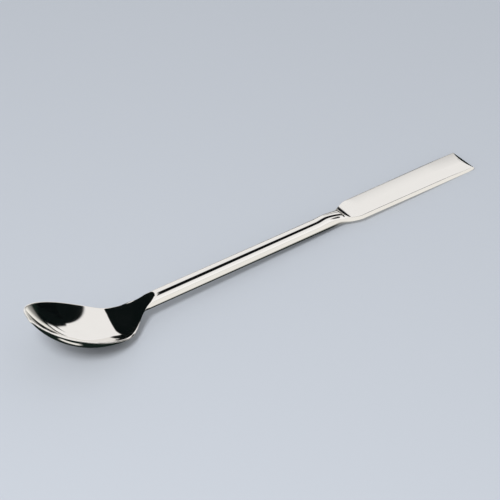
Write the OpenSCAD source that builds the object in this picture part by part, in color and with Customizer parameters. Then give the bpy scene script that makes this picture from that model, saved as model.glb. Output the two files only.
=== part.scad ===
// Spoon spatula for laboratory work: one piece of polished steel, with a hollow spoon at one end
// of a round handle and a flat blade at the other.
//
// The piece is drawn along X with the handle's axis at y = 0, z = 0 and the spoon's tip at x = 0,
// and is then laid down as it comes to rest, on the bowl's underside and the blade's end.

/* [Handle] */
// Diameter of the round handle
handle_d = 5.2; // [4:0.1:7]
// Length of the handle from the end of the spoon's hollow to the step at the blade's root
handle_length = 77.6; // [50:0.1:140]

/* [Spoon] */
// Length of the bowl along the handle, from its tip to its heel
bowl_length = 33.3; // [28:0.1:45]
// Width of the bowl over its rim
bowl_width = 26.5; // [20:0.1:34]
// Distance from the tip to the widest place of the bowl
bowl_widest = 16.8; // [12:0.1:20]
// Distance past the heel at which the bowl's outline would close if no neck met it
heel_overrun = 6.7; // [5:0.1:10]
// Depth of the hollow below the rim
bowl_depth = 7.2; // [3:0.1:10]
// Thickness of the steel below the middle of the hollow
bowl_floor = 1.1; // [0.7:0.1:2]
// Width of the rim around the hollow
rim_width = 0.6; // [0.5:0.1:1.5]
// Height of the rim's rounded outer edge
rim_edge = 0.3; // [0.1:0.1:0.8]
// Angle at which the rim climbs from the heel to the tip
rim_angle = 28; // [10:1:34]
// Angle at which the hollow's edges climb from the heel to the top of the handle
neck_angle = 27; // [20:1:40]
// Depth of the rim at the heel below the handle's axis
heel_drop = 2.8; // [1:0.1:4]
// Radius-like softness of the bend in the rim at the heel
heel_bend = 3; // [1:0.1:6]
// Length of the neck, from the heel to the round handle
neck_length = 10.5; // [8:0.1:20]

/* [Blade] */
// Length of the blade from the step at its root to its end
blade_length = 55.7; // [35:0.1:90]
// Width of the blade at its end
blade_width = 10.9; // [8:0.1:16]
// Width of the blade just past its shoulders
blade_waist = 10.4; // [8:0.1:16]
// Thickness of the blade
blade_thickness = 1.8; // [1:0.1:2.4]
// Height of the blade's top face above the handle's axis
face_height = 1; // [0.5:0.1:1.4]
// Length of the shoulders, from the step to the full width
shoulder_length = 6.5; // [4:0.1:12]
// Radius of the corners at the blade's end
corner_radius = 0.4; // [0.2:0.1:2]
// Length over which the top face falls towards the blade's end
taper_length = 14; // [8:0.5:30]
// Fall of the top face at the blade's end
top_taper = 0.4; // [0:0.05:0.5]
// Length of the rounding under the blade's end
toe_length = 3; // [1:0.1:5]
// Rise of the underside at the blade's end
toe_rise = 0.5; // [0:0.05:0.5]
// Length of the bevel on top of the blade's end, at its middle
bevel_length = 1.1; // [0.5:0.1:1.2]
// Angle of the bevel below the top face
bevel_angle = 22; // [10:1:22]

/* [Root of the blade] */
// Height of the top of the step above the handle's axis
step_top = 2; // [1.8:0.05:2.2]
// Radius of the step's rounded top
step_radius = 0.4; // [0.2:0.1:0.6]
// Length over which the face falls from the step
fall_length = 2.4; // [1.5:0.1:5]
// Depth of the dish in the face behind the step
dish_depth = 0.25; // [0:0.05:0.4]
// Length over which the face rises again out of the dish
dish_length = 6; // [3:0.5:12]
// Height of the notch's floor in front of the step, above the handle's axis
notch_floor = 1.1; // [0.6:0.1:1.3]
// Length of the notch from its front edge to the step
notch_length = 0.7; // [0.6:0.05:1.2]
// Height of the handle's top at the notch's front edge
crest_height = 2; // [1.8:0.05:2.4]
// Height of the swell on the handle's top in front of the notch
swell = 0.35; // [0:0.05:0.6]
// Distance of the swell's top from the step
swell_back = 6.8; // [5:0.1:10]

/* [Hidden] */

handle_r = handle_d / 2;

// Places along X
heel_x = bowl_length;
neck_x = heel_x + neck_length;

// The rim line is a hyperbola: it falls from the tip to the heel and climbs again up the neck
rise_tip = tan(rim_angle);
rise_neck = tan(neck_angle);
rise_mean = (rise_tip + rise_neck) / 2;
rise_skew = (rise_neck - rise_tip) / 2;
function rim_line(x) =
    let (u = x - heel_x)
    rise_skew * u + rise_mean * (sqrt(u * u + heel_bend * heel_bend) - heel_bend) - heel_drop;

// Where the rim line would leave the top of the handle: the root of rim_line(x) = handle_r
climb = handle_r + heel_drop + rise_mean * heel_bend;
climb_a = rise_mean * rise_mean - rise_skew * rise_skew;
climb_b = rise_skew * climb;
climb_c = pow(rise_mean * heel_bend, 2) - climb * climb;
run_out_x = heel_x + (sqrt(climb_b * climb_b - climb_a * climb_c) - climb_b) / climb_a;

// The plain cylinder starts just past the hollow and the neck, and ends before the swell
plain_x0 = max(run_out_x, neck_x) + 3;
step_x = run_out_x + handle_length;
swell_x = step_x - swell_back;
swell_length = 4;
plain_x1 = swell_x - swell_length;
end_x = step_x + blade_length;

// The lofts reach this far into the cylinder, with their last rings drawn in by this share
seam = 0.5;
shrink = 0.03;

// Smooth helpers: a step from 0 to 1, and the lower of two values with a soft corner
function smooth(t) = let (c = min(max(t, 0), 1)) c * c * (3 - 2 * c);
function soft_min(a, b, k) = (a + b - sqrt((a - b) * (a - b) + k * k)) / 2;

// Half width of the bowl and neck. The tip is a superellipse. The heel side is a blunter one,
// and from the heel on a cubic that is tangent to it leads into the round handle.
tip_power = 2.2;
heel_power = 1.6;
bowl_half = bowl_width / 2;
closing = heel_x + heel_overrun - bowl_widest;
function heel_side(x) = bowl_half * sqrt(1 - pow((x - bowl_widest) / closing, heel_power));
heel_half = heel_side(heel_x);
heel_reach = pow((heel_x - bowl_widest) / closing, heel_power);
heel_slope = -heel_power * heel_reach * bowl_half * bowl_half
    / (2 * heel_half * (heel_x - bowl_widest));
function neck_side(x) =
    let (t = min((x - heel_x) / neck_length, 1), s = 1 - t)
    heel_half * (1 + 2 * t) * s * s + heel_slope * neck_length * t * s * s
        + handle_r * t * t * (3 - 2 * t);
function tip_side(x, inset) =
    let (a = max(bowl_widest - x, 0) / (bowl_widest - inset))
    (bowl_half - inset) * pow(max(1 - pow(a, tip_power), 0), 1 / tip_power);
function spoon_half(x) =
    x < bowl_widest ? tip_side(x, 0) : x < heel_x ? heel_side(x) : neck_side(x);

// Share of the handle's round form in the neck, from 0 in the bowl to 1 on the handle
blend_length = 7;
function roundness(x) = smooth((x - neck_x + blend_length) / blend_length);

// Height of the hollow's edge, held to the top of the handle by a soft corner
end_soft = 0.15;
function edge_z(x) = x < heel_x ? rim_line(x) : soft_min(rim_line(x), handle_r, end_soft);

// Half width of the hollow: the outline less the rim, and on the handle the cut's own edge, kept
// inside the outline by a hair
hair = 0.01;
function hollow_half(x) =
    let (r = roundness(x), e = edge_z(x))
    let (in_bowl = x < rim_width ? 0
        : x < bowl_widest ? tip_side(x, rim_width)
        : spoon_half(x) - rim_width * (1 - smooth((x - heel_x) / neck_length)))
    let (on_handle = sqrt(max(handle_r * handle_r - e * e, 0)) * spoon_half(x) / handle_r)
    max(min((1 - r) * in_bowl + r * on_handle, spoon_half(x) - hair), 0);

// Depth of the hollow below its edge, fading with its width
depth_power = 1.7;
function hollow_depth(x) = bowl_depth * pow(hollow_half(x) / (bowl_half - rim_width), depth_power);

// One section across the spoon, from the left edge below to the right edge and back above.
// Below, the wall is a power of a cosine that turns into a half circle on the handle. Above,
// the hollow is nearly a parabola, and the rim beside it is part of an ellipse.
under_power = 1.9;
hollow_power = 2.1;
under_steps = 18;
hollow_steps = 20;
rim_steps = 3;
function spoon_section(x) =
    let (w = spoon_half(x), h = hollow_half(x), e = edge_z(x), d = hollow_depth(x))
    let (r = roundness(x), base = (e - rim_edge) * (1 - r))
    let (floor_z = (e - d - bowl_floor) * (1 - r) - handle_r * r)
    let (power = under_power * (1 - r) + r)
    let (crown = (e - base) / sqrt(max(1 - pow(h / w, 2), 0.0001)))
    let (inner = max(h, w * 0.3), start = asin(min(inner / w, 1)))
    let (rim_z = function (y) base + crown * sqrt(max(1 - pow(y / w, 2), 0)))
    let (top_z = function (y) abs(y) < h ? e - d * (1 - pow(abs(y) / h, hollow_power)) : rim_z(y))
    [
        for (i = [0:under_steps])
            let (a = -90 + 180 * i / under_steps)
            [x, w * sin(a), base - (base - floor_z) * pow(max(cos(a), 0), power)],
        for (i = [1:rim_steps])
            let (y = w * sin(90 + (start - 90) * i / rim_steps))
            [x, y, i == rim_steps && h > w * 0.3 ? e : top_z(y)],
        for (i = [1:hollow_steps - 1])
            let (y = inner * sin(90 - 180 * i / hollow_steps))
            [x, y, top_z(y)],
        for (i = [rim_steps:-1:1])
            let (y = -w * sin(90 + (start - 90) * i / rim_steps))
            [x, y, i == rim_steps && h > w * 0.3 ? e : top_z(y)],
    ];

// Stations along the spoon, close together at the tip, and along the neck
tip_steps = 20;
back_steps = 36;
function tip_station(i) = bowl_widest * (1 - cos(90 * i / tip_steps));
spoon_stations = [
    for (i = [1:tip_steps]) tip_station(i),
    for (i = [1:back_steps]) bowl_widest + (plain_x0 - seam - bowl_widest) * i / back_steps,
    plain_x0 - seam / 2,
    plain_x0 + seam,
];

// A ring that lies inside the cylinder, drawn in so that it stays there
function drawn_in(ring) = [for (p = ring) [p.x, p.y * (1 - shrink), p.z * (1 - shrink)]];

spoon_rings = [
    for (x = spoon_stations) x > plain_x0 - seam ? drawn_in(spoon_section(x)) : spoon_section(x)
];

// Half width of the blade: shoulders out of the handle, a slow taper, and rounded corners
shoulder_start = 2;
function blade_side(x) =
    let (out = smooth((x - step_x + shoulder_start) / (shoulder_length + shoulder_start)))
    let (along = max(x - step_x - shoulder_length, 0) / (blade_length - shoulder_length))
    handle_r + (blade_waist / 2 - handle_r) * out + (blade_width - blade_waist) / 2 * along;
function blade_half(x) =
    let (past = max(x - end_x + corner_radius, 0))
    blade_side(x) - corner_radius + sqrt(max(corner_radius * corner_radius - past * past, 0));

// Height of the cut along the top: the notch, the step with its rounded top, the fall into the
// dish, the face, and the face's own fall towards the end
wall_run = 0.1;
notch_run = 0.4;
taper_power = 1.3;
clear_above = handle_r + 1;
crest_x = step_x - notch_length;
function notch_z(x) =
    max(crest_height - (crest_height - notch_floor) * (x - crest_x) / notch_run, notch_floor);
function face_z(x) =
    let (into = min(max((x - step_x) / step_radius, 0), 1))
    let (fall = min(max(1 - (x - step_x) / fall_length, 0), 1))
    let (dish = dish_depth * (1 - smooth((x - step_x - fall_length) / dish_length)))
    face_height + (step_top - face_height + dish_depth) * fall * fall - dish
        - step_radius * (1 - sqrt(1 - pow(1 - into, 2)))
        - top_taper * pow(max(1 - (end_x - x) / taper_length, 0), taper_power);
function cut_z(x) = x < crest_x ? clear_above : x < step_x - wall_run / 2 ? notch_z(x) : face_z(x);

// One section across the blade, from the left edge below to the right edge and back above. The
// body goes from the handle's circle to a full bar with soft corners. Its top swells and falls
// to the notch while it is still round, and from the step on it is cut flat.
side_steps = 18;
bar_power = 10;
bar_excess = 1.15;
bar_half = blade_thickness / 2 * bar_excess;
root_share = 2.2 / 2.6;
root_rise = root_share * handle_r;
bevel_bow = 0.6;
function rise(x) =
    let (up = swell * smooth((x - swell_x + swell_length) / swell_length))
    let (down = pow(max((x - swell_x) / (crest_x - swell_x), 0), 2))
    x < step_x - wall_run / 2 ? handle_r + up - (handle_r + swell - crest_height) * down
        : root_rise + (bar_half - root_rise) * smooth((x - step_x) / shoulder_length);
function blade_section(x) =
    let (w = blade_half(x), change = smooth((x - root_x) / (end_of_root - root_x)))
    let (middle = (face_height - blade_thickness / 2) * change)
    let (down = handle_r + (bar_half - handle_r) * change, up = rise(x))
    let (low_power = 2 + (bar_power - 2) * change * change)
    let (top_power = 2 + (bar_power - 2) * smooth((x - step_x) / shoulder_length))
    let (toe = pow(max(1 - (end_x - x) / toe_length, 0), 2))
    let (back = -handle_r + (back_height + handle_r) * change + toe_rise * toe)
    let (cut = function (c) cut_z(x)
        - tan(bevel_angle) * max(bevel_length * (1 - bevel_bow * c * c) - end_x + x, 0))
    let (bulge = function (c, power) pow(max(1 - pow(abs(c), power), 0), 1 / power))
    [
        for (i = [0:side_steps])
            let (c = across(-1 + 2 * i / side_steps))
            [x, w * c, max(min(middle - down * bulge(c, low_power), cut(c)), back)],
        for (i = [1:side_steps - 1])
            let (c = across(1 - 2 * i / side_steps))
            [x, w * c, min(middle + up * bulge(c, top_power), cut(c))],
    ];
function across(t) = sin(90 * sin(90 * t));

// Stations along the blade: from inside the handle over the swell to the notch, then close
// together over the step, the fall and the shoulders, and again over the bevel and the corners
root_length = 4.6;
root_x = step_x - root_length;
end_of_root = step_x + shoulder_length;
root_steps = 16;
round_steps = 4;
fall_steps = 12;
face_steps = 10;
toe_steps = 12;
back_height = face_height - blade_thickness;
toe_x = end_x - max(toe_length, bevel_length);
blade_stations = [
    plain_x1 - seam,
    plain_x1 + seam / 2,
    for (i = [0:root_steps]) plain_x1 + seam + (crest_x - plain_x1 - seam) * i / root_steps,
    crest_x + notch_run,
    step_x - wall_run,
    for (i = [0:round_steps]) step_x + step_radius * (1 - cos(90 * i / round_steps)),
    for (i = [1:fall_steps])
        step_x + step_radius + (end_of_root - step_x - step_radius) * i / fall_steps,
    for (i = [1:face_steps]) end_of_root + (toe_x - end_of_root) * i / face_steps,
    for (i = [1:toe_steps]) end_x - (end_x - toe_x) * pow(1 - i / toe_steps, 2),
];
blade_rings = [
    for (x = blade_stations) x < plain_x1 + seam ? drawn_in(blade_section(x)) : blade_section(x)
];

// A solid through a row of rings with equal counts of points, closed at each end by a fan of
// triangles round the point given for it
module loft(rings, first, last) {
    n = len(rings[0]);
    total = len(rings) * n;
    points = [each [for (ring = rings) each ring], first, last];
    faces = [
        for (k = [0:len(rings) - 2])
            for (i = [0:n - 1])
                let (a = k * n + i, b = k * n + (i + 1) % n)
                each [[a, b + n, b], [a, a + n, b + n]],
        for (i = [0:n - 1]) [total, i, (i + 1) % n],
        for (i = [0:n - 1]) [total + 1, total - n + (i + 1) % n, total - n + i],
    ];
    polyhedron(points, faces, convexity = 6);
}

// The piece comes to rest with the handle leaning by the angle at which the lowest point of the
// bowl and that of the blade are level. Four corrections, starting from no lean, find it.
function low(rings, angle) =
    min([for (ring = rings) for (p = ring) p.z * cos(angle) - p.x * sin(angle)]);
function level(angle, tries) =
    tries == 0 ? angle
        : level(angle + atan((low(blade_rings, angle) - low(spoon_rings, angle))
            / (end_x - heel_x)), tries - 1);
rest_angle = level(0, 4);
ground = low(spoon_rings, rest_angle);
function along(rings, angle) =
    [for (ring = rings) for (p = ring) p.x * cos(angle) + p.z * sin(angle)];
left = min(along(spoon_rings, rest_angle));
right = max(along(blade_rings, rest_angle));

module spoon_spatula() {
    tip_point = [0, 0, rim_line(0) - rim_edge / 2];
    end_top = face_height - top_taper - tan(bevel_angle) * bevel_length;
    end_point = [end_x, 0, (back_height + toe_rise + end_top) / 2];
    color("silver")
        translate([-(left + right) / 2, 0, -ground])
            rotate([0, rest_angle, 0])
                union() {
                    loft(spoon_rings, tip_point, [plain_x0 + seam, 0, 0]);
                    translate([plain_x0, 0, 0])
                        rotate([0, 90, 0])
                            cylinder(h = plain_x1 - plain_x0, r = handle_r, $fn = 96);
                    loft(blade_rings, [plain_x1 - seam, 0, 0], end_point);
                }
}

spoon_spatula();
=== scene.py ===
import bpy
import numpy as np
from mathutils import Matrix, Vector


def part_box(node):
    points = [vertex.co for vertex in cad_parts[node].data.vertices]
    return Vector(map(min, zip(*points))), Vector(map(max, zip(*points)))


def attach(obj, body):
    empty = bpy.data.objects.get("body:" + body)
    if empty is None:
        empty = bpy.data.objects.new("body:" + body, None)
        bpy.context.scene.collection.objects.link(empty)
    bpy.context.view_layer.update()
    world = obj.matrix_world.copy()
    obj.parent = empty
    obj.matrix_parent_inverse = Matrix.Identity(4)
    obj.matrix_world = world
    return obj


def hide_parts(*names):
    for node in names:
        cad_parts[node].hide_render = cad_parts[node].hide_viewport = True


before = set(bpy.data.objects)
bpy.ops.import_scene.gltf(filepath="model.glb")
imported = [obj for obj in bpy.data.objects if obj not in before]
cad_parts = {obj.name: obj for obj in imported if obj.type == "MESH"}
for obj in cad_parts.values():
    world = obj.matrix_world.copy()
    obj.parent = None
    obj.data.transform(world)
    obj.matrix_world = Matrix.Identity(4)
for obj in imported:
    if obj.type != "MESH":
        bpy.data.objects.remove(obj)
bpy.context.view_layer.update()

# ---------------------------------------------------------------------------------------------
# Camera. It looks down on the piece from the spoon's side with a long lens, and leans with it:
# its angles are given for the handle's axis, which is a little off level because the piece rests
# on the bowl's underside and the blade's end.
# ---------------------------------------------------------------------------------------------
MM = 0.001
PIXELS = 500
FOCAL_PIXELS = 2400
SENSOR_MM = 36
PIXEL_MM = 180 / 538                     # size of a pixel at the aimed point
AZIMUTH, ELEVATION = 36.34, 37           # degrees, from the upright plane across the handle
AIM_FROM_TIP = 86.0                      # millimetres along the handle's axis
AIM_PIXEL = (0.1, -6.0)                  # where that point is seen, right of and above the centre
REST_ANGLE = 2.65385                     # lean of the handle, blade end down
REST_SHIFT = (-90.1849, 0.0, 9.00044)    # millimetres, after the lean

lean = Matrix.Rotation(np.radians(REST_ANGLE), 4, "Y")
laid_down = Matrix.Translation(Vector(REST_SHIFT) * MM) @ lean


def view_axes(azimuth, elevation):
    """Right, up and backward unit vectors of a camera that looks at the origin from the given
    azimuth and elevation, in degrees, with no roll."""
    a, e = np.radians([azimuth, elevation])
    right = Vector((np.cos(a), -np.sin(a), 0))
    ahead = Vector((np.sin(a), np.cos(a), 0))
    up = ahead * np.sin(e) + Vector((0, 0, np.cos(e)))
    return right, up, right.cross(up)


right, up, back = view_axes(AZIMUTH, ELEVATION)
eye = (right * -AIM_PIXEL[0] + up * -AIM_PIXEL[1] + back * FOCAL_PIXELS) * PIXEL_MM
eye += Vector((AIM_FROM_TIP, 0, 0))
camera_data = bpy.data.cameras.new("camera")
camera_data.sensor_width = SENSOR_MM
camera_data.lens = SENSOR_MM * FOCAL_PIXELS / PIXELS
camera = bpy.data.objects.new("camera", camera_data)
turn = Matrix((right, up, back)).transposed().to_4x4()
camera.matrix_world = laid_down @ Matrix.Translation(eye * MM) @ turn
bpy.context.scene.collection.objects.link(camera)
bpy.context.scene.camera = camera

# ---------------------------------------------------------------------------------------------
# Spoon spatula. One piece of stainless steel, forged from a round rod: a hollow egg-shaped spoon
# at one end, a neck in which its hollow runs out, and a flat blade with a stepped root at the
# other. It is ground all over and polished to a mirror.
# ---------------------------------------------------------------------------------------------
# Sizes in millimetres and degrees. The handle's axis is the line y = 0, z = 0, and x runs from
# the spoon's tip to the blade's end.
HANDLE_R = 2.6
HANDLE_LENGTH = 77.6                     # from the end of the hollow to the step
PLAIN_MARGIN = 3                         # from that end, or the neck's, to the plain round part

BOWL_LENGTH = 33.3                       # from the tip to the heel
BOWL_HALF = 13.25
BOWL_WIDEST = 16.8                       # from the tip
HEEL_OVERRUN = 6.7                       # past the heel, where the outline would close
TIP_POWER, HEEL_POWER = 2.2, 1.6         # of the two halves of the outline
BOWL_DEPTH = 7.2
BOWL_FLOOR = 1.1
HOLLOW_POWER = 2.1                       # of the hollow's curve across
DEPTH_POWER = 1.7                        # with which its depth follows its width
UNDER_POWER = 1.9                        # of the wall's curve below
RIM_WIDTH = 0.6
RIM_EDGE = 0.3
RIM_ANGLE = 28                           # climb of the rim from the heel to the tip

NECK_ANGLE = 27                          # climb of the hollow's edges up the neck
HEEL_DROP = 2.8
HEEL_BEND = 3
NECK_LENGTH = 10.5
BLEND_LENGTH = 7                         # over which the wall turns into the round handle
END_SOFT = 0.15                          # rounding where the hollow's edges meet its top

BLADE_LENGTH = 55.7
BLADE_WIDTH = 10.9
BLADE_WAIST = 10.4
BLADE_THICKNESS = 1.8
FACE_HEIGHT = 1
SHOULDER_START, SHOULDER_LENGTH = 2, 6.5     # before the step, and after it
BAR_POWER = 10                           # of the bar's section before it is cut flat
BAR_EXCESS = 1.15                        # times the blade's thickness: height of that bar
CORNER_RADIUS = 0.4
BEVEL_LENGTH, BEVEL_DROP = 1.5, 0.6
BEVEL_BOW = 0.6                          # share of its length that it has lost at the sides
TAPER_LENGTH, TOP_TAPER = 14, 0.4
TAPER_POWER = 1.3
TOE_LENGTH, TOE_RISE = 3, 0.5

STEP_TOP = 2
STEP_RADIUS = 0.4
NOTCH_FLOOR, NOTCH_RUN = 1.1, 0.4        # the notch in front of the step
CREST, CREST_LENGTH = 2.0, 0.7           # its front edge, and how far that is from the step
DIP_LENGTH = 4.6
FALL_LENGTH = 2.4                        # from the step down to the face
DISH, DISH_LENGTH = 0.25, 6
ROOT_RISE = 2.2
SWELL, SWELL_LENGTH = 0.35, 4
SWELL_TO_STEP = 6.8
SWELL_POWER = 1.6                        # with which the swell falls to the crest

CREASE = 0.08                            # rounding of the polished edges
NECK_CREASE, NECK_CREASE_LENGTH = 0.4, 5     # and of the two beside the hollow in the neck
BLADE_CREASE = 0.28                      # and of the long near one beside the blade's face
BLADE_CREASE_START, BLADE_CREASE_LENGTH = 0.2, 1.5   # which grows to that behind the step
HAIR = 0.01                              # a gap too small to see


def smooth(t):
    """A step from 0 to 1 as t goes from 0 to 1: three t squared less two t cubed."""
    t = np.clip(t, 0, 1)
    return t * t * (3 - 2 * t)


def soft_min(a, b, k):
    """The lower of a and b, with the corner where they cross rounded over a height of about k."""
    return (a + b - np.sqrt((a - b) ** 2 + k * k)) / 2


rise_tip, rise_neck = np.tan(np.radians([RIM_ANGLE, NECK_ANGLE]))
rise_mean, rise_skew = (rise_tip + rise_neck) / 2, (rise_neck - rise_tip) / 2
heel_x = BOWL_LENGTH
neck_x = heel_x + NECK_LENGTH


def rim_line(x):
    """Height of the rim seen from the side: a hyperbola with one arm down to the heel and the
    other up the neck."""
    u = x - heel_x
    return rise_skew * u + rise_mean * (np.sqrt(u * u + HEEL_BEND ** 2) - HEEL_BEND) - HEEL_DROP


# The hollow runs out where the rim line reaches the top of the handle: a quadratic's root
climb = HANDLE_R + HEEL_DROP + rise_mean * HEEL_BEND
climb_a = rise_mean ** 2 - rise_skew ** 2
climb_b = rise_skew * climb
climb_c = (rise_mean * HEEL_BEND) ** 2 - climb ** 2
run_out_x = heel_x + (np.sqrt(climb_b ** 2 - climb_a * climb_c) - climb_b) / climb_a
plain_x0 = max(run_out_x, neck_x) + PLAIN_MARGIN
step_x = run_out_x + HANDLE_LENGTH
dip_x = step_x - DIP_LENGTH
crest_x = step_x - CREST_LENGTH
swell_x = step_x - SWELL_TO_STEP
plain_x1 = swell_x - SWELL_LENGTH
end_x = step_x + BLADE_LENGTH

closing = heel_x + HEEL_OVERRUN - BOWL_WIDEST


def heel_side(x):
    """Half width of the bowl behind its widest place: the root of one less a power of x."""
    return BOWL_HALF * np.sqrt(1 - np.clip((x - BOWL_WIDEST) / closing, 0, 1) ** HEEL_POWER)


heel_half = heel_side(heel_x)
heel_reach = ((heel_x - BOWL_WIDEST) / closing) ** HEEL_POWER
heel_slope = -HEEL_POWER * heel_reach * BOWL_HALF ** 2 / (2 * heel_half * (heel_x - BOWL_WIDEST))


def neck_side(x):
    """Half width of the neck: a cubic that starts along the bowl and ends along the handle."""
    t = np.minimum((x - heel_x) / NECK_LENGTH, 1)
    s = 1 - t
    start = heel_half * (1 + 2 * t) + heel_slope * NECK_LENGTH * t
    return start * s * s + HANDLE_R * t * t * (3 - 2 * t)


def tip_side(x, inset):
    """Half width of the bowl before its widest place, drawn in by inset: a superellipse."""
    a = np.maximum(BOWL_WIDEST - x, 0) / (BOWL_WIDEST - inset)
    return (BOWL_HALF - inset) * np.maximum(1 - a ** TIP_POWER, 0) ** (1 / TIP_POWER)


def spoon_half(x):
    """Half width of the bowl and the neck at x."""
    behind = np.where(x < heel_x, heel_side(x), neck_side(x))
    return np.where(x < BOWL_WIDEST, tip_side(x, 0), behind)


def hollow_shape(x):
    """Roundness, half width, edge height and depth of the hollow at x. Roundness goes from 0 in
    the bowl to 1 on the handle, where the hollow's edge is the chord that the cut leaves."""
    roundness = smooth((x - neck_x + BLEND_LENGTH) / BLEND_LENGTH)
    edge = np.where(x < heel_x, rim_line(x), soft_min(rim_line(x), HANDLE_R, END_SOFT))
    w = spoon_half(x)
    behind = w - RIM_WIDTH * (1 - smooth((x - heel_x) / NECK_LENGTH))
    in_bowl = np.where(x < BOWL_WIDEST, tip_side(x, RIM_WIDTH), behind)
    in_bowl = np.where(x < RIM_WIDTH, 0, in_bowl)
    on_handle = np.sqrt(np.maximum(HANDLE_R ** 2 - edge * edge, 0)) * w / HANDLE_R
    half = (1 - roundness) * in_bowl + roundness * on_handle
    half = np.maximum(np.minimum(half, w - HAIR), HAIR / 10)
    depth = BOWL_DEPTH * (half / (BOWL_HALF - RIM_WIDTH)) ** DEPTH_POWER
    return roundness, half, edge, depth


BELOW, RIM, ACROSS = 56, 10, 74          # points along a ring: wall below, each rim, hollow
LEAST_BOWL, LEAST_BAR = 0.3, 0.944       # share of the half width at which a rim ends at least
NO_HOLLOW = 10                           # height over the rim that stands for no hollow


def places_on_top(start):
    """Sideways places of a ring's upper points, as shares of the half width: over the right rim
    as far as the angle start, across the middle as a sine, and over the left rim."""
    rim = np.arange(1, RIM + 1) / RIM
    over = np.sin(np.pi / 2 + (start - np.pi / 2) * rim)
    across = np.sin(start) * np.sin(np.pi / 2 - np.pi * np.arange(1, ACROSS) / ACROSS)
    return np.concatenate([over, across, -over[:, ::-1]], axis=1)


below_angle = np.radians(np.linspace(-90, 90, BELOW + 1))[None, :]


def spoon_rings(x):
    """Rings across the spoon and neck. Below, the wall is a power of a cosine that becomes a half
    circle on the handle. Above, it is the lower of the rim's ellipse and the hollow's curve, a
    power a little over 2 of the sideways place."""
    x = x[:, None]
    w = spoon_half(x)
    roundness, half, edge, depth = hollow_shape(x)
    base = (edge - RIM_EDGE) * (1 - roundness)
    bottom = (edge - depth - BOWL_FLOOR) * (1 - roundness) - HANDLE_R * roundness
    power = UNDER_POWER * (1 - roundness) + roundness
    low_y = w * np.sin(below_angle)
    low_z = base - (base - bottom) * np.maximum(np.cos(below_angle), 0) ** power
    crown = (edge - base) / np.sqrt(np.maximum(1 - (half / w) ** 2, 1e-4))
    least = LEAST_BOWL + (LEAST_BAR - LEAST_BOWL) * smooth((x - run_out_x) / PLAIN_MARGIN)
    top = places_on_top(np.arcsin(np.clip(np.maximum(half / w, least), 0, 1)))
    rim = base + crown * np.sqrt(np.maximum(1 - top ** 2, 0))
    hollow = edge - depth + depth * np.minimum(np.abs(top) * w / half, 50) ** HOLLOW_POWER
    hollow = np.where(half < HAIR / 5, rim + NO_HOLLOW, hollow)
    crease = CREASE + (NECK_CREASE - CREASE) * smooth((x - heel_x) / NECK_CREASE_LENGTH)
    top_z = soft_min(rim, hollow, crease * np.minimum(half, 1))
    y = np.concatenate([low_y, top * w], axis=1)
    z = np.concatenate([low_z, top_z], axis=1)
    return np.stack([np.broadcast_to(x, y.shape), y, z], axis=-1)


def blade_half(x):
    """Half width of the blade: shoulders out of the handle, a slow taper, rounded corners."""
    out = smooth((x - step_x + SHOULDER_START) / (SHOULDER_LENGTH + SHOULDER_START))
    along = np.maximum(x - step_x - SHOULDER_LENGTH, 0) / (BLADE_LENGTH - SHOULDER_LENGTH)
    side = HANDLE_R + (BLADE_WAIST / 2 - HANDLE_R) * out + (BLADE_WIDTH - BLADE_WAIST) / 2 * along
    past = np.maximum(x - end_x + CORNER_RADIUS, 0)
    return side - CORNER_RADIUS + np.sqrt(np.maximum(CORNER_RADIUS ** 2 - past ** 2, 0))


before_step = step_x - HAIR / 10
bar_half = BLADE_THICKNESS / 2 * BAR_EXCESS


def top_line(x):
    """Height of the cut along the top: a sharp fall from the crest into the notch, the rounded
    step, the fall to the face, and the face's own taper towards the end."""
    notch = CREST - (CREST - NOTCH_FLOOR) * (x - crest_x) / NOTCH_RUN
    into = np.clip((x - step_x) / STEP_RADIUS, 0, 1)
    rounding = STEP_RADIUS * (np.sqrt(1 - (1 - into) ** 2) - 1)
    fall = np.clip(1 - (x - step_x) / FALL_LENGTH, 0, 1)
    taper = np.maximum(1 - (end_x - x) / TAPER_LENGTH, 0) ** TAPER_POWER
    dish = DISH * (1 - smooth((x - step_x - FALL_LENGTH) / DISH_LENGTH))
    face = FACE_HEIGHT + (STEP_TOP - FACE_HEIGHT + DISH) * fall ** 2 - dish
    face = face + rounding - TOP_TAPER * taper
    before = np.where(x < crest_x, HANDLE_R + 1, np.maximum(notch, NOTCH_FLOOR))
    return np.where(x < before_step, before, face)


def rise_of(x):
    """Height of the body's top above its middle: up over the swell, down to the crest as a power
    of the way there, and behind the step from the root's height down to the bar's."""
    swell = HANDLE_R + SWELL * smooth((x - swell_x + SWELL_LENGTH) / SWELL_LENGTH)
    down = np.maximum((x - swell_x) / (crest_x - swell_x), 0) ** SWELL_POWER
    behind = ROOT_RISE + (bar_half - ROOT_RISE) * smooth((x - step_x) / SHOULDER_LENGTH)
    return np.where(x < before_step, swell - (HANDLE_R + SWELL - CREST) * down, behind)


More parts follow.
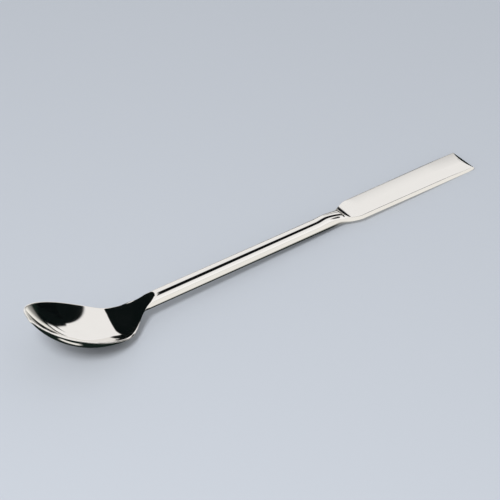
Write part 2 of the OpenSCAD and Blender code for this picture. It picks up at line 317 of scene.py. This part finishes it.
def blade_rings(x):
    """Rings across the blade and its root. The body goes from the handle's circle to a full bar,
    a superellipse, and is cut flat above and below. At the end the upper cut falls in a bevel,
    which is longest in the middle. Its long near edge is rounded more than the far one."""
    x = x[:, None]
    w = blade_half(x)
    change = smooth((x - dip_x) / (DIP_LENGTH + SHOULDER_LENGTH))
    middle = (FACE_HEIGHT - BLADE_THICKNESS / 2) * change
    down = HANDLE_R + (bar_half - HANDLE_R) * change
    power = 2 + (BAR_POWER - 2) * change ** 2
    top_power = 2 + (BAR_POWER - 2) * smooth((x - step_x) / SHOULDER_LENGTH)
    toe = np.maximum(1 - (end_x - x) / TOE_LENGTH, 0) ** 2
    back_z = -HANDLE_R + (FACE_HEIGHT - BLADE_THICKNESS + HANDLE_R) * change + TOE_RISE * toe
    cut = top_line(x)

    def bulge(f, power):
        return np.maximum(1 - np.abs(f) ** power, 0) ** (1 / power)

    def bevel(f):
        reach = BEVEL_LENGTH * (1 - BEVEL_BOW * f ** 2)
        return BEVEL_DROP * np.maximum(1 - (end_x - x) / reach, 0)

    low = np.broadcast_to(np.sin(below_angle), (len(x), BELOW + 1))
    low_z = np.minimum(middle - down * bulge(low, power), cut - bevel(low))
    low_z = np.maximum(low_z, back_z)
    top = places_on_top(np.full((len(x), 1), np.arcsin(LEAST_BAR)))
    past_step = smooth((x - step_x - BLADE_CREASE_START) / BLADE_CREASE_LENGTH)
    near = smooth(-2 * top) * past_step
    crease = CREASE + (BLADE_CREASE - CREASE) * near
    top_z = soft_min(middle + rise_of(x) * bulge(top, top_power), cut - bevel(top), crease)
    f = np.concatenate([low, top], axis=1)
    z = np.concatenate([low_z, top_z], axis=1)
    return np.stack([np.broadcast_to(x, z.shape), w * f, z], axis=-1)


def closed_skin(name, rings, first, last):
    """A mesh over a grid of rings, each point joined to the next along its ring and to the same
    one on the next ring. A fan round the points first and last closes the two ends."""
    rows, n = rings.shape[:2]
    points = np.vstack([rings.reshape(-1, 3), [first, last]]) * MM
    a = (np.arange(rows - 1)[:, None] * n + np.arange(n)[None, :]).ravel()
    b = (np.arange(rows - 1)[:, None] * n + (np.arange(n)[None, :] + 1) % n).ravel()
    quads = np.stack([a, a + n, b + n, b], axis=1)
    i, j = np.arange(n), (np.arange(n) + 1) % n
    tip = np.stack([np.full(n, rows * n), i, j], axis=1)
    end = np.stack([np.full(n, rows * n + 1), (rows - 1) * n + j, (rows - 1) * n + i], axis=1)
    mesh = bpy.data.meshes.new(name)
    mesh.from_pydata(points, [], quads.tolist() + tip.tolist() + end.tolist())
    mesh.validate()
    return mesh


# The rings stand close together at the tip, at the step, and over the bevel and the corners
SHARP_FROM = 40                          # degrees between two faces with a sharp edge
spoon_x = np.concatenate([
    BOWL_WIDEST * (1 - np.cos(np.linspace(0, np.pi / 2, 90)[1:])),
    np.linspace(BOWL_WIDEST, neck_x, 150)[1:],
    np.linspace(neck_x, plain_x0, 60)[1:],
])
blade_x = np.concatenate([
    np.linspace(plain_x1, crest_x, 100),
    np.linspace(crest_x, step_x - HAIR, 16)[1:],
    step_x + STEP_RADIUS * (1 - np.cos(np.linspace(0, np.pi / 2, 16))),
    np.linspace(step_x + STEP_RADIUS, step_x + SHOULDER_LENGTH, 60)[1:],
    np.linspace(step_x + SHOULDER_LENGTH, end_x - BEVEL_LENGTH, 60)[1:],
    end_x - BEVEL_LENGTH * (1 - np.linspace(0, 1, 24)[1:]) ** 2,
])
rings = np.concatenate([spoon_rings(spoon_x), blade_rings(blade_x)])
skin = closed_skin(
    "spoon_spatula_polished", rings,
    (0, 0, rim_line(0) - RIM_EDGE / 2), (end_x, 0, rings[-1, :, 2].mean()),
)
skin.transform(laid_down)

# Laid down, it fills the node's box
points = np.empty(len(skin.vertices) * 3)
skin.vertices.foreach_get("co", points)
points = points.reshape(-1, 3)
low, high = (np.array(corner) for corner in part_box("spoon_spatula"))
share = (points - points.min(0)) / (points.max(0) - points.min(0))
skin.vertices.foreach_set("co", (low + share * (high - low)).ravel())
skin.polygons.foreach_set("use_smooth", np.ones(len(skin.polygons), bool))
skin.set_sharp_from_angle(angle=np.radians(SHARP_FROM))
skin.update()


def linear(hex_colour):
    """Linear colour with alpha 1 from an sRGB hex value, by the sRGB curve: straight near black,
    and above that a power of 2.4."""
    srgb = np.array([int(hex_colour[i:i + 2], 16) for i in (1, 3, 5)]) / 255
    low = srgb <= 0.04045
    return (*np.where(low, srgb / 12.92, ((srgb + 0.055) / 1.055) ** 2.4), 1.0)


def add(tree, kind, inputs=(), **settings):
    """Adds a node of that kind with its settings. inputs holds what goes in, by place or by name:
    another node's output, or a node for its first one, is linked, and anything else is set."""
    node = tree.nodes.new("ShaderNode" + kind)
    for name, value in settings.items():
        setattr(node, name, value)
    for place, value in inputs.items() if isinstance(inputs, dict) else enumerate(inputs):
        if isinstance(value, bpy.types.Node):
            value = value.outputs[0]
        if isinstance(value, bpy.types.NodeSocket):
            tree.links.new(value, node.inputs[place])
        else:
            node.inputs[place].default_value = value
    return node


def new_material(name):
    """An empty node material and its tree."""
    material = bpy.data.materials.new(name)
    material.use_nodes = True
    material.node_tree.nodes.clear()
    return material, material.node_tree


# Mirror-polished 18/10 stainless steel: almost neutral, with a very low roughness, faint
# polishing lines along the piece and a slight unevenness where the wheel pressed harder. The
# real lines are a hundredth of a millimetre wide, too fine to show, so they are drawn coarser.
LINE_LENGTH, LINE_WIDTH, LINE_DEPTH = 8, 0.4, 0.02   # millimetres
PATCH_SIZE = 11
LINE_NOISE, LINE_ROUGHNESS = (0.3, 0.7), (0.035, 0.075)      # from the first to the second
PATCH_NOISE, PATCH_ROUGHNESS = (0.35, 0.65), (0.0, 0.03)
steel, tree = new_material("mirror_polished_stainless_steel")
place = add(tree, "TexCoord").outputs["Object"]
along = add(tree, "Mapping", {"Vector": place, "Scale": (
    1 / (LINE_LENGTH * MM), 1 / (LINE_WIDTH * MM), 1 / (LINE_WIDTH * MM))})
lines = add(tree, "TexNoise", {"Vector": along, "Scale": 1.0, "Detail": 4.0, "Roughness": 0.6})
patches = add(tree, "TexNoise", {"Vector": place, "Scale": 1 / (PATCH_SIZE * MM),
                                 "Detail": 2.0, "Roughness": 0.5})
lined = add(tree, "MapRange", [lines, *LINE_NOISE, *LINE_ROUGHNESS])
uneven = add(tree, "MapRange", [patches, *PATCH_NOISE, *PATCH_ROUGHNESS])
rough = add(tree, "Math", [lined, uneven], operation="ADD")
tone = add(tree, "Mix", {0: patches, 6: linear("#f1efec"), 7: linear("#f6f4f2")},
           data_type="RGBA")
bump = add(tree, "Bump", {"Height": lines, "Strength": 0.02, "Distance": LINE_DEPTH * MM})
shader = add(tree, "BsdfPrincipled", {"Base Color": tone.outputs[2], "Metallic": 1.0,
                                      "Roughness": rough, "Normal": bump})
add(tree, "OutputMaterial", {"Surface": shader})

spatula = bpy.data.objects.new("spoon_spatula_polished", skin)
bpy.context.scene.collection.objects.link(spatula)
skin.materials.append(steel)
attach(spatula, "root")
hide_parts("spoon_spatula")

# ---------------------------------------------------------------------------------------------
# Table. A sheet of smooth pale blue-grey card. What the steel mirrors of it is a painted
# reflection, which glows by itself: warmer and lighter than the card, with painted shade in three
# places: close round the bowl and under the handle, standing in for the piece's shade, past the
# blade's end, and softly towards the far right, standing in for an unlit studio. A painted streak
# of light lies in the shade beside the bowl.
# ---------------------------------------------------------------------------------------------
TABLE_HALF = 700                         # millimetres, as all the sizes here
# The card's own tone, then the light tone and the painted shade of its painted reflection
CARD_TONE, PAINTED_LIT, PAINTED_SHADE = (linear(c) for c in ("#c6ccd5", "#f4f2ec", "#16201d"))
HANDLE_Y = 1.5                           # middle of the painted shade under the handle
HANDLE_SIDE = (7.5, 4.5)                 # such a pair: where a painted shade starts, and where it is full
HANDLE_ENDS = (-60, -50), (40, 30)
BOWL_MIDDLE, BOWL_REACH = (-78, 4, 0), (33, 24, 1)
BOWL_EDGE = (1.1, 0.8)                   # in shares of that reach
STREAK_MIDDLE, STREAK_TURN = (-80, -2.5, 0), -30.67  # a painted streak of light under the bowl, cut out of the painted shade
STREAK_END, STREAK_SIDE = (6, 3), (2.1, 0.7)
PAST_END_X, PAST_END_Y = (86, 89), (-6, -4)
UNLIT_SLANT = 0.4                        # of the far edge of the painted shade towards the far right
UNLIT_FAR, UNLIT_NEAR = (48, 36), (2, 14)
UNLIT_ALONG = (-15, 95, 0.58, 1.0)       # two places along the piece, and its strength there
SOFT = {"interpolation_type": "SMOOTHSTEP"}


def flat_sheet(name, corners):
    """A sheet with those four corners, in millimetres."""
    mesh = bpy.data.meshes.new(name)
    mesh.from_pydata(np.array(corners) * MM, [], [(0, 1, 2, 3)])
    sheet = bpy.data.objects.new(name, mesh)
    bpy.context.scene.collection.objects.link(sheet)
    return sheet, mesh


table, table_mesh = flat_sheet("table", [
    (-TABLE_HALF, -TABLE_HALF, 0), (TABLE_HALF, -TABLE_HALF, 0),
    (TABLE_HALF, TABLE_HALF, 0), (-TABLE_HALF, TABLE_HALF, 0)])

# Smooth matt card: one pale tone that scatters light, with hardly any sheen. Glossy rays see
# instead its painted reflection, which glows by itself and carries the painted shade and streak
card, tree = new_material("pale_matt_card_painted_reflection")
place = add(tree, "VectorMath", {0: add(tree, "TexCoord").outputs["Object"], "Scale": 1 / MM},
            operation="SCALE")
axes = add(tree, "SeparateXYZ", [place])
x, y = axes.outputs["X"], axes.outputs["Y"]

# Painted shade under the handle, standing in for the shade the piece casts
from_middle = add(tree, "Math", [y, HANDLE_Y], operation="SUBTRACT")
aside = add(tree, "Math", [from_middle], operation="ABSOLUTE")
under_handle = add(tree, "MapRange", [aside, *HANDLE_SIDE], **SOFT)
for end in HANDLE_ENDS:
    within = add(tree, "MapRange", [x, *end], **SOFT)
    under_handle = add(tree, "Math", [under_handle, within], operation="MULTIPLY")
# Painted shade round the bowl, standing in for the shade under it
bowl = add(tree, "Mapping", {"Vector": place, "Location": BOWL_MIDDLE, "Scale": BOWL_REACH},
           vector_type="TEXTURE")
from_bowl = add(tree, "VectorMath", [bowl], operation="LENGTH").outputs["Value"]
round_bowl = add(tree, "MapRange", [from_bowl, *BOWL_EDGE], **SOFT)
shade = add(tree, "Math", [under_handle, round_bowl], operation="MAXIMUM")

# A painted streak of light, cut out of the painted shade beside the bowl
in_streak = add(tree, "Mapping", {"Vector": place, "Location": STREAK_MIDDLE,
                                  "Rotation": (0, 0, np.radians(STREAK_TURN))},
                vector_type="TEXTURE")
from_streak = add(tree, "VectorMath", [in_streak], operation="ABSOLUTE")
axes = add(tree, "SeparateXYZ", [from_streak])
painted_streak = add(tree, "Math", [
    add(tree, "MapRange", [axes.outputs["X"], *STREAK_END], **SOFT),
    add(tree, "MapRange", [axes.outputs["Y"], *STREAK_SIDE], **SOFT)],
    operation="MULTIPLY")
off_painted_streak = add(tree, "Math", [1.0, painted_streak], operation="SUBTRACT")
shade = add(tree, "Math", [shade, off_painted_streak], operation="MULTIPLY")

# Painted shade past the blade's end
past_end = add(tree, "Math", [add(tree, "MapRange", [x, *PAST_END_X], **SOFT),
                              add(tree, "MapRange", [y, *PAST_END_Y], **SOFT)],
               operation="MULTIPLY")
shade = add(tree, "Math", [shade, past_end], operation="MAXIMUM")

# Painted shade towards the far right, standing in for an unlit studio
slanted = add(tree, "Math", [x, -UNLIT_SLANT, y], operation="MULTIPLY_ADD")
unlit = add(tree, "MapRange", [x, *UNLIT_ALONG])
for edge in ([slanted, *UNLIT_FAR], [y, *UNLIT_NEAR]):
    within = add(tree, "MapRange", edge, **SOFT)
    unlit = add(tree, "Math", [unlit, within], operation="MULTIPLY")
shade = add(tree, "Math", [shade, unlit], operation="MAXIMUM")

# The painted reflection: the light tone darkened by the painted shade, shown to glossy rays as a
# glow
painted_reflection = add(tree, "Mix", {0: shade, 6: PAINTED_LIT, 7: PAINTED_SHADE}, data_type="RGBA")
shader = add(tree, "BsdfPrincipled", {"Base Color": CARD_TONE, "Roughness": 0.9,
                                      "Specular IOR Level": 0.2})
painted_glow = add(tree, "Emission", {"Color": painted_reflection.outputs[2], "Strength": 1.0})
ray = add(tree, "LightPath")
mixed = add(tree, "MixShader", [ray.outputs["Is Glossy Ray"], shader, painted_glow])
add(tree, "OutputMaterial", {"Surface": mixed})
table_mesh.materials.append(card)

# ---------------------------------------------------------------------------------------------
# Light. The surroundings light the table evenly. In the steel they show as a white studio with
# two dark zones: one over the spoon, which the bowl's heel and the neck mirror, and one past the
# blade, which the bowl's tip mirrors.
# ---------------------------------------------------------------------------------------------
# Angles in degrees. A direction has one angle over the handle, from the near horizon over the
# top to the far one, and one aside, towards the blade. The white grows from none to full
# between each pair, and across a slanted edge, of which the two ends are given: over and over,
# then aside and aside.
SPOON_EDGE_SOFT = 2
SPOON_EDGE = (66, 132, -3, 16)
SPOON_LOW = (50, 42)                     # white low in front
SPOON_OUT = (-51, -55)                   # and far out
SPOON_BACK_OVER, SPOON_BACK_ASIDE = (148, 153), (-34, -38)   # and low behind
BLADE_EDGE_SOFT = 1.5
BLADE_EDGE = (44, 93, 38, 67)
BLADE_EDGE_ON = (93, 130, 0, 4.5)        # what it gains further on
BLADE_LOW = (-100, -90), (29, 22)        # white low in front, but not under the far horizon
BLADE_OUT = (78, 72)
SCREEN_LOW = (0, 14, 0.76, 1.0)          # a little less bright at the near horizon
SCREEN_HIGH = (25, 45, 1.0, 0.9)         # and overhead
WHITE = (1.01, 1.0, 0.985, 1.0)
FILL = (0.58, 0.58, 0.58, 1.0)           # what lights everything else
world = bpy.data.worlds.new("studio")
bpy.context.scene.world = world
world.use_nodes = True
tree = world.node_tree
tree.nodes.clear()
axes = add(tree, "SeparateXYZ", [add(tree, "TexCoord").outputs["Generated"]])
inward = add(tree, "Math", [axes.outputs["Y"], -1.0], operation="MULTIPLY")
angle = add(tree, "Math", [axes.outputs["Z"], inward], operation="ARCTAN2")
over = add(tree, "Math", [angle], operation="DEGREES")
angle = add(tree, "Math", [axes.outputs["X"]], operation="ARCSINE")
aside = add(tree, "Math", [angle], operation="DEGREES")

edge = add(tree, "MapRange", [over, *SPOON_EDGE])
past_edge = add(tree, "Math", [aside, edge], operation="SUBTRACT")
low_behind = add(tree, "Math", [add(tree, "MapRange", [over, *SPOON_BACK_OVER], **SOFT),
                                add(tree, "MapRange", [aside, *SPOON_BACK_ASIDE], **SOFT)],
                 operation="MULTIPLY")
spoon_side = low_behind
for part in ([past_edge, -SPOON_EDGE_SOFT, SPOON_EDGE_SOFT],
             [over, *SPOON_LOW], [aside, *SPOON_OUT]):
    white = add(tree, "MapRange", part, **SOFT)
    spoon_side = add(tree, "Math", [spoon_side, white], operation="MAXIMUM")

edge = add(tree, "Math", [add(tree, "MapRange", [over, *BLADE_EDGE]),
                          add(tree, "MapRange", [over, *BLADE_EDGE_ON])], operation="ADD")
short_of_edge = add(tree, "Math", [edge, aside], operation="SUBTRACT")
low_in_front = add(tree, "MapRange", [aside, *BLADE_OUT], **SOFT)
for part in BLADE_LOW:
    white = add(tree, "MapRange", [over, *part], **SOFT)
    low_in_front = add(tree, "Math", [low_in_front, white], operation="MULTIPLY")
white = add(tree, "MapRange", [short_of_edge, -BLADE_EDGE_SOFT, BLADE_EDGE_SOFT], **SOFT)
blade_side = add(tree, "Math", [low_in_front, white], operation="MAXIMUM")

screen = add(tree, "Math", [spoon_side, blade_side], operation="MULTIPLY")
for level in (SCREEN_LOW, SCREEN_HIGH):
    level = add(tree, "MapRange", [over, *level], **SOFT)
    screen = add(tree, "Math", [screen, level], operation="MULTIPLY")
ray = add(tree, "LightPath")
in_steel = add(tree, "Mix", {0: screen, 6: linear("#0a1010"), 7: WHITE}, data_type="RGBA")
lit = add(tree, "Mix", {0: ray.outputs["Is Glossy Ray"], 6: FILL, 7: in_steel.outputs[2]},
          data_type="RGBA")
seen = add(tree, "Mix", {0: ray.outputs["Is Camera Ray"], 6: lit.outputs[2], 7: CARD_TONE},
           data_type="RGBA")
surround = add(tree, "Background", {"Color": seen.outputs[2], "Strength": 1.0})
add(tree, "OutputWorld", {"Surface": surround})


# ---------------------------------------------------------------------------------------------
# Dark cards, of black velvet, which only the steel sees. A long one over the handle gives it the
# black line, a low one past the blade darkens the bevel, and one behind greys the blade's far
# side. Their places are in millimetres along the handle, across it and above its axis.
# ---------------------------------------------------------------------------------------------
def dark_card(name, corners, soft):
    """A velvet card with those corners, laid down as the piece is. Its edges are soft over those
    shares of its two sides."""
    sheet, mesh = flat_sheet(name, corners)
    mesh.transform(laid_down)
    across = mesh.uv_layers.new(name="across")
    across.data.foreach_set("uv", (0, 0, 1, 0, 1, 1, 0, 1))
    velvet, tree = new_material(name + "_velvet")
    sides = add(tree, "SeparateXYZ", [add(tree, "TexCoord").outputs["UV"]])
    cover = 1.0
    for side, share in zip(sides.outputs, soft):
        from_middle = add(tree, "Math", [side, 0.5], operation="SUBTRACT")
        edge = add(tree, "Math", [from_middle], operation="ABSOLUTE")
        within = add(tree, "MapRange", [edge, 0.5, 0.5 - share], **SOFT)
        cover = add(tree, "Math", [cover, within], operation="MULTIPLY")
    black = add(tree, "BsdfPrincipled", {"Base Color": linear("#0c1212"), "Roughness": 1.0,
                                         "Specular IOR Level": 0.0})
    mixed = add(tree, "MixShader", [cover, add(tree, "BsdfTransparent"), black])
    add(tree, "OutputMaterial", {"Surface": mixed})
    mesh.materials.append(velvet)
    sheet.visible_camera = False
    sheet.visible_diffuse = False
    sheet.visible_shadow = False


dark_card("dark_strip", [(54, -11.8, 17), (200, -4, 17), (200, 5.9, 17), (54, 5.9, 17)],
          soft=(0.01, 0.2))
dark_card("dark_side_card", [(185, 60, -9), (350, 60, -9), (350, 60, 30), (185, 60, 30)],
          soft=(0.02, 0.1))
dark_card("dark_back_card", [(150, 30, 30), (228, 30, 30), (228, 80, 30), (150, 80, 30)],
          soft=(0.06, 0.5))

# Soft lamp, near the camera's upper left, so that a narrow shadow falls to the lower right
LAMP_DISTANCE = 0.96                     # metres
LAMP_LEFT, LAMP_UP = 0.2, 0.3            # for each 1 towards the camera
LAMP_SIZE = 0.25
LAMP_WATTS = 4.9
lamp_data = bpy.data.lights.new("soft_lamp", "AREA")
lamp_data.shape = "DISK"
lamp_data.size = LAMP_SIZE
lamp_data.energy = LAMP_WATTS
lamp = bpy.data.objects.new("soft_lamp", lamp_data)
lamp.location = (back - LAMP_LEFT * right + LAMP_UP * up).normalized() * LAMP_DISTANCE
lamp.rotation_euler = Vector(lamp.location).to_track_quat("Z", "Y").to_euler()
lamp.visible_glossy = False
bpy.context.scene.collection.objects.link(lamp)

bpy.context.scene.view_settings.view_transform = "Standard"
